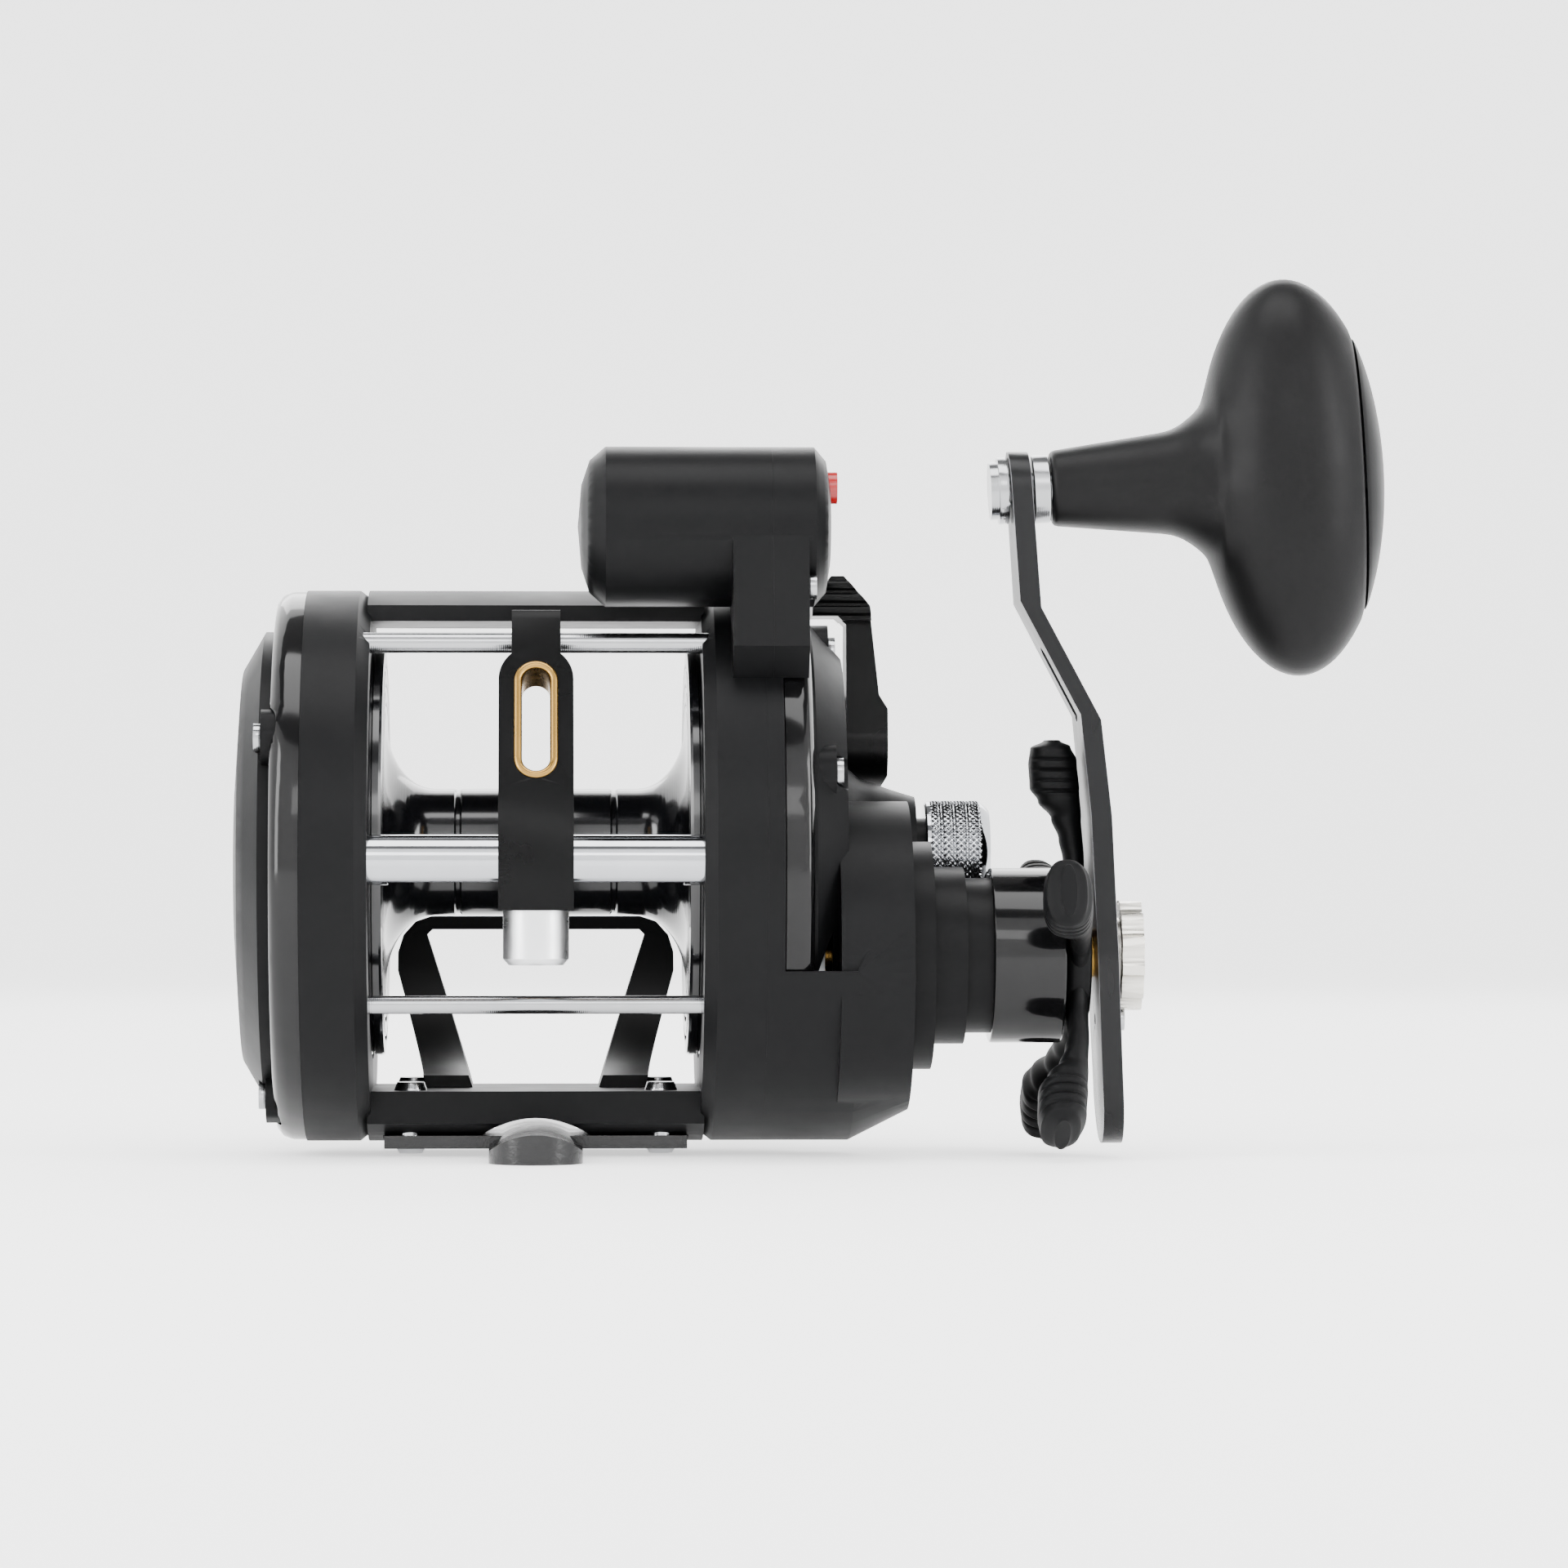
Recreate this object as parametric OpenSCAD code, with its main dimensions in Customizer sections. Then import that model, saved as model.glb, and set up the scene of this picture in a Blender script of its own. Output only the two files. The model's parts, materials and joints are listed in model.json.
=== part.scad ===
// Star-drag trolling reel with level wind and line counter.
// X runs along the spool axis with the handle on +X. Y runs along the rod, with the
// line guide on -Y. Z is up. The origin is the middle of the foot's underside.

/* [Spool] */
// Height of the spool axis above the underside of the foot
axis_h = 44.5; // [44:0.1:46]
// Radius of the spool flanges
flange_r = 30; // [29:0.1:30]
// Distance from mid spool to the inner edge of a flange rim
spool_half = 22.1; // [21.5:0.1:22.3]
// Radius of the line arbor
arbor_r = 9.35; // [8:0.05:12]

/* [Frame] */
// Radius of the two side rings
ring_r = 40.6; // [40.6:0.1:41.5]
// How far the rings' centre lies below the spool axis
ring_drop = 2; // [1.8:0.1:2.2]
// Outer face of the left side ring
left_face = 33.6; // [33.4:0.1:34]
// Half width of the bottom crossbar along the rod
bottom_half = 15.5; // [15:0.5:17]
// Half width of the top crossbar along the rod
top_half = 14.5; // [13:0.5:15]

/* [Gears] */
// Module of the main gear pair
main_module = 0.85; // [0.84:0.005:0.86]
// Teeth on the main gear
main_teeth = 39; // [39:1:39]
// Teeth on the pinion
pinion_teeth = 10; // [10:1:10]
// Height of the drive axis below the spool axis
drive_drop = 15.1; // [14.8:0.1:15.4]

/* [Level wind] */
// Height of the worm axis relative to the spool axis
worm_z = -1.15; // [-1.5:0.05:-0.8]
// Outside radius of the worm tube
tube_r = 3.6; // [3.4:0.05:3.6]
// Half width of the line guide across the spool
guide_half = 5.35; // [5:0.05:6]

/* [Handle] */
// Height of the knob axis above the spool axis
knob_z = 52.9; // [50:0.1:55]
// Tilt of the knob away from the spool axis
knob_tilt = 2.8; // [0:0.1:3]
// Half length of the handle knob
knob_half = 29.1; // [26:0.1:30]
// Half depth of the handle knob
knob_deep = 13.6; // [12:0.1:14]
// Reach of the star wheel's arms
star_r = 31.4; // [28:0.1:31.4]

/* [Counter] */
// Radius of the counter barrel
counter_r = 11.6; // [11.4:0.1:12]
// Height of the counter axis above the spool axis
counter_z = 47.1; // [46.9:0.1:47.3]

/* [Foot] */
// Length of the foot along the rod
foot_len = 75; // [60:1:80]
// Width of the foot's tongue
foot_w = 13.5; // [13:0.1:15]

/* [Hidden] */
$fn = 64;
CLEAR = 0.05;                   // running clearance of a shaft in its bore
ring_c = [0, -ring_drop];       // centres are given as [Y, height above the spool axis]
spool_c = [0, 0];
drive_y = -sqrt(pow(main_module * (main_teeth + pinion_teeth) / 2, 2) - pow(drive_drop, 2));
drive_c = [drive_y, -drive_drop];

// Side ring stations along X
ring_in = 24;
right_face = 33;
web_in = 27;
web_out = 28.6;
plate_out = 30;
recess_r = 36.5;
bore_r = flange_r + 0.5;

// Gear layers along X
small_in = 30.6;
small_out = 32.6;
main_in = 34;
main_out = 37.4;

// Level-wind train: gear on the drive sleeve, idler, worm gear
lw_module = 0.6;
lw_drive = 27;
lw_idler = 22;
lw_worm = 12;
lw_reach = lw_module * (lw_drive + 2 * lw_idler + lw_worm) / 2;
lw_rise = drive_drop + worm_z;
worm_y = drive_y - sqrt(lw_reach * lw_reach - lw_rise * lw_rise);
worm_c = [worm_y, worm_z];
lw_dir = (worm_c - drive_c) / lw_reach;
lw_angle = atan2(lw_dir[1], lw_dir[0]);
lw_idler_c = drive_c + lw_dir * lw_module * (lw_drive + lw_idler) / 2;

// Counter train: gear on the spool shaft, two idlers, counter gear
ct_module = 0.8;
ct_spool = 20;
ct_idler = 22;
ct_gear = 20;
ct_reach = ct_module * (ct_spool + 4 * ct_idler + ct_gear) / 2;
counter_y = -sqrt(ct_reach * ct_reach - counter_z * counter_z);
counter_c = [counter_y, counter_z];
ct_dir = counter_c / ct_reach;
ct_angle = atan2(ct_dir[1], ct_dir[0]);
idler_a_c = ct_dir * ct_module * (ct_spool + ct_idler) / 2;
idler_b_c = idler_a_c + ct_dir * ct_module * ct_idler;

// Where the other axes lie
top_rod_c = [-21, 30.2];
low_rod_c = [-29, -21.9];
lever_c = [12, 16];
post_c = [[11, 8], [11, -8]];
clicker_c = [14.5, -2];
dog_c = [-28, -6];
left_screws = [149, 29, 250];
right_screws = [155, 25, 95];
cover_screws = [[-30, 38], [-8.5, 39.7]];
shaft_r = 2;
sleeve_r = 4;
stud_r = 1.2;
worm_r = 2.6;

// Handle arm: right edge and left edge, as [X, height above the spool axis]
arm_outer = [[71.6, 60], [73.3, 35.5], [81.9, 19.2], [83.4, 5.2], [84.9, -30.5], [85.5, -44]];
arm_inner = [[68.6, 60], [70.2, 36.4], [78.9, 19.9], [80.35, 5.2], [81.9, -30.5], [82.5, -44]];
arm_tail_z = -34.5;
knob_x = 70.6;

// ---- helpers ----

// Heights are measured from the spool axis inside this module
module at_axis() {
    translate([0, 0, axis_h]) children();
}

// Draws in the Y-Z plane and extrudes along +X from x
module along_x(x) {
    translate([x, 0, 0]) rotate([90, 0, 90]) children();
}

// Solid disc or shaft along X around centre at = [Y, height]
module disc(r, x0, x1, at = [0, 0]) {
    at_axis() translate([0, at[0], at[1]]) along_x(x0) cylinder(r = r, h = x1 - x0);
}

module pipe(ro, ri, x0, x1, at = [0, 0]) {
    difference() {
        disc(ro, x0, x1, at);
        disc(ri, x0 - 1, x1 + 1, at);
    }
}

// Solid of revolution around an axis along X, from [radius, X] points
module turned(points, at = [0, 0]) {
    at_axis() translate([0, at[0], at[1]]) rotate([90, 0, 90]) rotate_extrude() polygon(points);
}

// Flat shape in the Y-Z plane, extruded from x0 to x1
module slab(x0, x1) {
    at_axis() along_x(x0) linear_extrude(x1 - x0) children();
}

module gear_outline(teeth, m) {
    root = m * (teeth / 2 - 1.15);
    tip = m * (teeth / 2 + 0.85);
    corners = [[root, -0.27], [tip, -0.12], [tip, 0.12], [root, 0.27]];
    polygon([for (i = [0 : teeth - 1], c = corners)
        c[0] * [cos((i + c[1]) * 360 / teeth), sin((i + c[1]) * 360 / teeth)]]);
}

module gear(teeth, m, x0, x1, at, turn, bore) {
    slab(x0, x1) translate(at) difference() {
        rotate(turn) gear_outline(teeth, m);
        circle(bore);
    }
}

// Turn of a gear with n2 teeth that meshes with one of n1 teeth turned by turn1
function meshed(turn1, n1, n2, direction) =
    direction + 180 + (direction - turn1) * n1 / n2 + 180 / n2;

module stadium(w, l) {
    square([w, l - w], center = true);
    for (s = [-1, 1]) translate([0, s * (l - w) / 2]) circle(w / 2);
}

// Screw with a cross recess whose head rests on x and faces along dir
module screw(head_r, x, dir, at) {
    head_h = 1.1;
    difference() {
        union() {
            disc(head_r, min(x, x + dir * head_h), max(x, x + dir * head_h), at);
            disc(head_r * 0.5, min(x, x - dir * 3), max(x, x - dir * 3), at);
        }
        for (a = [0, 90])
            at_axis() translate([x + dir * head_h, at[0], at[1]]) rotate([a, 0, 0])
                cube([1, head_r * 1.5, 0.5], center = true);
    }
}

// ---- fixed frame and side plates ----

module side_ring(face) {
    difference() {
        turned([[0, ring_in], [ring_r - 1.4, ring_in], [ring_r, ring_in + 1.8],
                [ring_r, face], [0, face]], ring_c);
        disc(bore_r, ring_in - 1, web_in, spool_c);
        disc(4.5, web_in - 1, web_out + 1, spool_c);
        disc(recess_r, web_out, face + 1, ring_c);
    }
}

// Crossbar cut from the ring's own circle between two heights
module crossbar(half, z0, z1) {
    slab(-ring_in - 0.5, ring_in + 0.5) intersection() {
        translate(ring_c) circle(ring_r);
        translate([-half, z0]) square([2 * half, z1 - z0]);
    }
}

// Rear brace: a rounded bar on two splayed legs that stand on the bottom crossbar
module rear_brace() {
    brace_ri = 33;
    brace_ro = 36.8;
    half = [[15.5, -37], [21, -18], [21, -15.2], [20.2, -12.6], [18.4, -10.6], [16, -9.8]];
    window = [[8.6, -37], [16.6, -12.6], [15.8, -11.8]];
    intersection() {
        difference() {
            disc(brace_ro, -ring_in, ring_in);
            disc(brace_ri, -ring_in - 1, ring_in + 1);
        }
        at_axis() translate([0, 50, 0]) rotate([90, 0, 0]) linear_extrude(50) difference() {
            polygon(concat(half, [for (i = [len(half) - 1 : -1 : 0]) [-half[i][0], half[i][1]]]));
            polygon(concat(window,
                           [for (i = [len(window) - 1 : -1 : 0]) [-window[i][0], window[i][1]]]));
        }
    }
}

module gear_passage(x0, x1) {
    slab(x0, x1) rotate(ct_angle) translate([ct_module * ct_spool, -10])
        square([ct_reach - ct_module * ct_spool, 20]);
}

module frame() {
    color("#232425") difference() {
        union() {
            side_ring(right_face);
            mirror([1, 0, 0]) side_ring(left_face);
            crossbar(top_half, 33.6, 40);
            crossbar(bottom_half, -43, -34.8);
            rear_brace();
        }
        disc(1.5, -web_in, web_in, top_rod_c);
        disc(1.3, -web_in, web_in, low_rod_c);
        disc(tube_r, -web_in, web_in, worm_c);
        disc(worm_r + CLEAR, -web_in - 4, web_out + 1, worm_c);
        disc(4.6, web_out, right_face + 1, worm_c);
        gear_passage(web_out, right_face + 1);
        at_axis() translate([-22.3, -12.3, -46]) cube([44.6, 24.6, 4.6]);
        at_axis() translate([0, 20, -51.7]) rotate([90, 0, 0]) cylinder(r = 13, h = 40);
        foot_rivet_shanks();
    }
}

module left_trim_ring() {
    out = 38;
    color("#0b0b0c") difference() {
        turned([[34.8, -left_face], [40.4, -left_face], [40.4, -35.6], [39.9, -37],
                [38.9, -37.8], [37.8, -out], [34.8, -out]], ring_c);
        for (a = left_screws) disc(4.3, -out - 1, -left_face + 1, ring_c + 35.6 * [cos(a), sin(a)]);
    }
}

module left_side_plate() {
    color("#262728") difference() {
        union() {
            turned([[0, -44.4], [15, -44], [29, -42.9], [34.5, -39.7], [34.5, -left_face],
                    [32.5, -left_face], [32.5, -38.8], [28.2, -41.2], [15, -42.2], [0, -42.6]],
                   ring_c);
            for (a = left_screws)
                intersection() {
                    disc(4, -39.2, -left_face, ring_c + 35.6 * [cos(a), sin(a)]);
                    pipe(39.4, 32.6, -40, -left_face + 1, ring_c);
                }
            disc(7, -43, -33.6);
        }
        disc(5, -37.4, -33);
        at_axis() translate([-46, clicker_c[0] - 4.5, clicker_c[1] - 1.7]) cube([5.4, 6.2, 3.4]);
        for (a = left_screws) {
            disc(1, -42, -36.2, ring_c + 35.6 * [cos(a), sin(a)]);
            disc(2.3, -43, -39.2, ring_c + 35.6 * [cos(a), sin(a)]);
        }
    }
}

module right_trim_ring() {
    color("#0b0b0c") difference() {
        turned([[36, 35.5], [40.2, 35.5], [40.2, 38], [39.7, 39], [38.7, 39.6],
                [37.6, 39.7], [36, 39.7]], ring_c);
        slab(30, 42) case_outline();
    }
}

// Outline of the gear case where it stands on the side ring
module case_outline() {
    intersection() {
        translate(ring_c) circle(ring_r);
        translate(drive_c) circle(33);
        translate([-50, -67]) square([100, 50]);
    }
}

// Lower part of the right side plate, swelling out around the drive axis
module gear_case() {
    hull() {
        slab(45.8, 46) case_outline();
        disc(22.5, 53.4, 54, drive_c);
    }
    slab(right_face, 46) case_outline();
    disc(22.5, 43.5, 54, drive_c);
}

module right_side_plate() {
    color("#262728") difference() {
        union() {
            turned([[0, right_face], [ring_r, right_face], [ring_r, 35.4], [35.8, 35.4],
                    [35.8, 40.2], [30.9, 44.8], [15.7, 45.6], [0, 45.8]], ring_c);
            turned([[0, 44], [13.4, 45], [10.9, 47.8], [9.3, 52.4], [8.2, 56], [0, 56]]);
            gear_case();
            disc(16.6, 53.9, 57.4, drive_c);
            disc(12.9, 57.3, 62.2, drive_c);
            disc(11.3, 62.1, 66, drive_c);
            disc(7.4, 43, 46, lever_c);
            disc(5, 55.9, 61);
            for (a = right_screws) disc(4, 38, 43, ring_c + 31.6 * [cos(a), sin(a)]);
        }
        turned([[0, 32.9], [33.8, 32.9], [33.8, 39.4], [29.4, 42.9], [0, 43.8]], ring_c);
        disc(18, 32.9, 42.5, drive_c);
        difference() {
            disc(15, 42, 51.5, drive_c);
            disc(9.5, 40, 52);
        }
        disc(6.5, 51, 60, drive_c);
        disc(sleeve_r + 0.5, 59, 67, drive_c);
        disc(5, 42, 50.4);
        disc(shaft_r + 0.3, 50, 62);
        disc(1 + CLEAR, 42, 45.2, dog_c);
        disc(shaft_r + CLEAR, 42, 47, lever_c);
        for (a = right_screws) {
            disc(1.1, 39, 44, ring_c + 31.6 * [cos(a), sin(a)]);
            disc(2.5, 43, 48, ring_c + 31.6 * [cos(a), sin(a)]);
        }
    }
}

module plate_screws() {
    color("#9a9c9e") {
        for (a = left_screws) screw(2, -39.2, -1, ring_c + 35.6 * [cos(a), sin(a)]);
        for (a = right_screws) screw(2.2, 43, 1, ring_c + 31.6 * [cos(a), sin(a)]);
    }
}

module bridge_plate() {
    color("#b8a36a") difference() {
        disc(24, web_out, plate_out, ring_c);
        disc(4.5, web_out - 1, plate_out + 1);
        disc(2, web_out - 1, plate_out + 1, drive_c);
        for (c = post_c) disc(1.5, web_out - 1, plate_out + 1, c);
    }
}

module gear_post() {
    color("#a7a9ab") disc(2, web_out, 60, drive_c);
}

// Studs for the idlers and the two posts that the yoke slides on
module gear_studs() {
    color("#a7a9ab") {
        disc(stud_r, plate_out, 33, idler_a_c);
        disc(stud_r, web_out, 33, idler_b_c);
        disc(stud_r, web_out, 33, lw_idler_c);
        for (c = post_c) disc(1.5, web_out, 43.2, c);
    }
}

module spool_bearings() {
    color("#b9bbbd") {
        pipe(5, shaft_r + 0.03, -37.2, -34);
        pipe(5, shaft_r + 0.03, 47.2, 50.4);
    }
}

module sleeve_bush() {
    color("#b08d4a") pipe(6.5, sleeve_r + CLEAR, 52.4, 60, drive_c);
}

module nose_sleeve() {
    color("#1b1c1d") difference() {
        disc(12.75, 66, 76.5, drive_c);
        disc(10.8, 67.2, 77, drive_c);
        disc(sleeve_r + 0.5, 65, 78, drive_c);
    }
}

// ---- level wind ----

module guide_rods() {
    color("#c3c5c8") {
        disc(1.5, -web_in, web_in, top_rod_c);
        disc(1.3, -web_in, web_in, low_rod_c);
    }
}

module worm_tube() {
    color("#d5d7d9") difference() {
        disc(tube_r, -web_in, web_in, worm_c);
        disc(2.9, -web_in - 1, web_in + 1, worm_c);
        at_axis() translate([-21, worm_y - 1.6, worm_z - 5]) cube([42, 3.2, 5]);
    }
}

module worm_bushes() {
    color("#b08d4a") for (s = [0, 1])
        mirror([s, 0, 0]) pipe(2.9, 1.5 + CLEAR, 24.6, web_in, worm_c);
}

module worm_shaft() {
    color("#bfa25a") difference() {
        union() {
            disc(worm_r, -24.2, 24.2, worm_c);
            disc(1.5, -web_in, small_out, worm_c);
        }
        for (x = [-20 : 4 : 20])
            turned([[1.9, x - 0.3], [3, x - 0.9], [3, x + 0.9], [1.9, x + 0.3]], worm_c);
    }
}

module worm_gear() {
    turn = meshed(meshed(lw_angle, lw_drive, lw_idler, lw_angle), lw_idler, lw_worm, lw_angle);
    color("#e4e1d8") gear(lw_worm, lw_module, small_in, small_out, worm_c, turn, 1.5);
}

module level_wind_idler() {
    turn = meshed(lw_angle, lw_drive, lw_idler, lw_angle);
    color("#e4e1d8")
        gear(lw_idler, lw_module, small_in, small_out, lw_idler_c, turn, stud_r + CLEAR);
}

// Leaning plate of the line guide, in its own frame at the middle of the eye
module at_eye() {
    eye_z = 18.9;
    eye_y = -34.1;
    lean = 24.4;
    at_axis() translate([0, eye_y, eye_z]) rotate([-lean, 0, 0]) children();
}

module eye_cut(w, l, y0, y1) {
    at_eye() translate([0, y1, 0]) rotate([90, 0, 0]) linear_extrude(y1 - y0) stadium(w, l);
}

// Front plate of the guide, rounded over the eye
module guide_plate() {
    crown = 6.45;
    intersection() {
        slab(-guide_half, guide_half) polygon([
            [-40.2, -8.3], [-40.9, -5], [-41.2, -1], [-40.4, 5], [-38.6, 9], [-27.2, 34],
            [-21.5, 29], [-22.5, 26.8], [-31.3, 7.5], [-30.9, 3], [-30.9, -8.3]]);
        at_eye() translate([0, 20, 0]) rotate([90, 0, 0]) linear_extrude(40) {
            translate([0, crown]) circle(guide_half);
            translate([-guide_half, -60]) square([2 * guide_half, 60 + crown]);
        }
    }
}

module line_guide() {
    hook_half = 3.5;
    color("#161718") difference() {
        union() {
            guide_plate();
            slab(-hook_half, hook_half) polygon([
                [-30.6, 24], [-26, 33.6], [-24.6, 34.8], [-20.2, 35], [-18.9, 33],
                [-18.9, 27.9], [-22.5, 26.8], [-24.6, 22.2]]);
        }
        disc(tube_r + CLEAR, -10, 10, worm_c);
        disc(1.5 + CLEAR, -10, 10, top_rod_c);
        eye_cut(6.4, 18.6, -5, 15);
        at_axis() translate([0, worm_y, -9]) cylinder(r = 1.5, h = 6);
    }
}

module guide_insert() {
    color("#c9a04a") difference() {
        eye_cut(6.4, 18.6, -0.4, 6.4);
        eye_cut(4, 16.2, -5, 15);
    }
}

module guide_pawl() {
    color("#bfa25a") at_axis() translate([0, worm_y, 0]) {
        translate([0, 0, -15]) cylinder(r = 1.5, h = 9.8);
        translate([0, 0, -5.3]) cylinder(r = 1, h = 1.4);
    }
}

module pawl_cap() {
    color("#c0c2c4") at_axis() translate([0, worm_y, 0]) difference() {
        rotate_extrude() polygon([[0, -16.1], [3.9, -16.1], [4.7, -15.2], [4.7, -8.3], [0, -8.3]]);
        translate([0, 0, -15]) cylinder(r = 1.5, h = 7);
    }
}

// ---- foot ----

module foot_rivet_shanks() {
    for (x = [-18.25, 18.25], y = [-10, 10])
        at_axis() translate([x, y, -43.3]) cylinder(r = 1.5, h = 9);
}

module reel_foot() {
    crown_r = 10.4;
    crown_z = 4.3;
    color("#101112") difference() {
        union() {
            translate([-22.1, -12, 1.2]) cube([44.2, 24, 1.9]);
            intersection() {
                translate([0, foot_len, crown_z - crown_r]) rotate([90, 0, 0])
                    cylinder(r = crown_r, h = 2 * foot_len);
                linear_extrude(10) stadium(foot_w, foot_len);
            }
        }
        foot_rivet_shanks();
    }
}

module foot_rivets() {
    color("#c3c5c8") {
        foot_rivet_shanks();
        for (x = [-18.25, 18.25], y = [-10, 10]) at_axis() translate([x, y, 0]) {
            translate([0, 0, -34.8]) cylinder(r1 = 2.45, r2 = 2, h = 1.2);
            translate([0, 0, -44]) cylinder(r1 = 1.7, r2 = 2.1, h = 0.7);
        }
    }
}

// ---- counter ----

module bracket_outline() {
    neck = counter_r - 0.5;
    difference() {
        polygon([[-30.2, 24.6], [-34.2, 29.4], [counter_y - neck, counter_z],
                 [counter_y + neck, counter_z + 3], [-2.5, 41.2], [0.5, 36]]);
        translate(ring_c) circle(ring_r + 0.05);
    }
}

module window_box(grow) {
    at_axis() translate([13 - grow, counter_y, counter_z]) rotate([52, 0, 0])
        translate([0, 5, -4.5 - grow]) cube([15 + 2 * grow, 10, 9 + 2 * grow]);
}

module counter_housing() {
    color("#1f2021") difference() {
        union() {
            turned([[0, 6], [6, 6.5], [9.6, 7.7], [counter_r, 10], [counter_r, 34],
                    [0, 34]], counter_c);
            slab(28.2, 34) bracket_outline();
        }
        disc(10, 10, 35, counter_c);
        disc(1.5, 7, 11, counter_c);
        gear_passage(30.2, 33);
        window_box(0.1);
    }
}

module counter_cover() {
    color("#262728") difference() {
        union() {
            turned([[0, 34], [counter_r, 34], [counter_r, 40.2], [9.6, 41.9], [6, 42.5],
                    [0, 42.7]], counter_c);
            slab(34, 39.1) bracket_outline();
        }
        disc(10, 33, 39.5, counter_c);
        disc(1.5, 33, 41, counter_c);
        disc(2.35 + CLEAR, 38, 44, counter_c + [0, 5.7]);
        for (p = cover_screws) disc(0.9, 33, 40, p);
    }
}

module counter_window() {
    color("#c9d6d6") intersection() {
        pipe(counter_r, 10, 10, 34, counter_c);
        window_box(0);
    }
}

module counter_screws() {
    color("#9a9c9e") for (p = cover_screws) screw(1.8, 39.1, 1, p);
}

module counter_shaft() {
    color("#a7a9ab") disc(1.5, 7, 41, counter_c);
}

module reset_button() {
    color("#b3141b") {
        disc(2.35, 40, 43.6, counter_c + [0, 5.7]);
        disc(3, 38.2, 39.2, counter_c + [0, 5.7]);
        disc(1.4, 39, 41, counter_c + [0, 5.7]);
    }
}

// Turns of the counter train's gears, each meshed with the one before
idler_a_turn = meshed(ct_angle, ct_spool, ct_idler, ct_angle);
idler_b_turn = meshed(idler_a_turn, ct_idler, ct_idler, ct_angle);
counter_turn = meshed(idler_b_turn, ct_idler, ct_gear, ct_angle);

module counter_idler_a() {
    color("#e4e1d8") gear(ct_idler, ct_module, small_in, small_out, idler_a_c, idler_a_turn,
                          stud_r + CLEAR);
}

module counter_idler_b() {
    color("#e4e1d8") gear(ct_idler, ct_module, small_in, small_out, idler_b_c, idler_b_turn,
                          stud_r + CLEAR);
}

module counter_gear() {
    color("#e4e1d8") gear(ct_gear, ct_module, small_in, small_out, counter_c, counter_turn,
                          1.5 + CLEAR);
}

// Number wheels side by side on the counter shaft, the last digit next to the gear
module digit_wheel(place) {
    wheel_w = 4;
    pitch = 4.6;
    color("#ececea") pipe(8.6, 1.5 + CLEAR, 25 - pitch * place, 25 - pitch * place + wheel_w,
                          counter_c);
}

module digit_ones() {
    digit_wheel(0);
}

module digit_tens() {
    digit_wheel(1);
}

module digit_hundreds() {
    digit_wheel(2);
}

// ---- spool ----

module spool() {
    side = [[flange_r, spool_half], [17, spool_half - 2], [13.6, 19], [11, 16.8],
            [arbor_r + 0.35, 14.8], [arbor_r, 13.2]];
    color("#141516") difference() {
        turned(concat([[3, -25.8], [8, -25.8], [flange_r - 1.2, -25.4], [flange_r, -24.6]],
                      [for (p = side) [p[0], -p[1]]],
                      [for (i = [len(side) - 1 : -1 : 0]) side[i]],
                      [[flange_r, 24.6], [flange_r - 1.2, 25.4], [8, 25.8], [3, 25.8]]));
    }
}

module spool_shaft() {
    color("#c3c5c8") turned([[0, -37.3], [shaft_r, -37.3], [shaft_r, -25.8], [3, -25.8], [3, 25.8],
                             [shaft_r, 25.8], [shaft_r, 63.5], [0, 63.5]]);
}

module click_gear() {
    color("#e4e1d8") gear(24, 0.7, -33, -31.2, spool_c, 0, shaft_r);
}

module counter_drive_gear() {
    color("#e4e1d8") gear(ct_spool, ct_module, small_in, small_out, spool_c, ct_angle, shaft_r);
}

// ---- drive sleeve, drag and handle ----

module drive_sleeve() {
    color("#b08d4a") turned([[2 + CLEAR, 30.3], [sleeve_r, 30.3], [sleeve_r, 81], [3.2, 81],
                             [3.2, 87.4], [0, 87.4], [0, 60.6], [2 + CLEAR, 60.6]], drive_c);
}

module main_gear() {
    mesh_angle = atan2(drive_drop, -drive_y);
    color("#b89b55") difference() {
        gear(main_teeth, main_module, main_in, main_out, drive_c, mesh_angle, sleeve_r);
        for (a = [0 : 60 : 300]) disc(2, main_in - 1, main_out + 1, drive_c + 12.6 * [cos(a), sin(a)]);
    }
}

module pinion() {
    mesh_angle = atan2(drive_drop, -drive_y);
    turn = meshed(mesh_angle, main_teeth, pinion_teeth, mesh_angle);
    color("#c9a95c") {
        gear(pinion_teeth, main_module, 33.4, 38.4, spool_c, turn, shaft_r + CLEAR);
        pipe(3.2, shaft_r + CLEAR, 38.4, 40, spool_c);
        pipe(4.6, shaft_r + CLEAR, 40, 40.8, spool_c);
    }
}

// Stack of friction and steel washers on the main gear
module drag_washers() {
    color("#3a3a38") for (i = [0 : 2]) pipe(11 - 0.6 * (i % 2), sleeve_r, main_out + i, main_out + i + 1, drive_c);
}

module level_wind_gear() {
    color("#e4e1d8") gear(lw_drive, lw_module, small_in, small_out, drive_c, lw_angle, sleeve_r);
}

module ratchet_wheel() {
    points = 12;
    color("#8d9093") slab(40.6, 41.8) translate(drive_c) difference() {
        polygon([for (i = [0 : points - 1], c = [[9, 0], [7, 3]])
            c[0] * [cos((i * 360 + c[1]) / points), sin((i * 360 + c[1]) / points)]]);
        circle(sleeve_r);
    }
}

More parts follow.
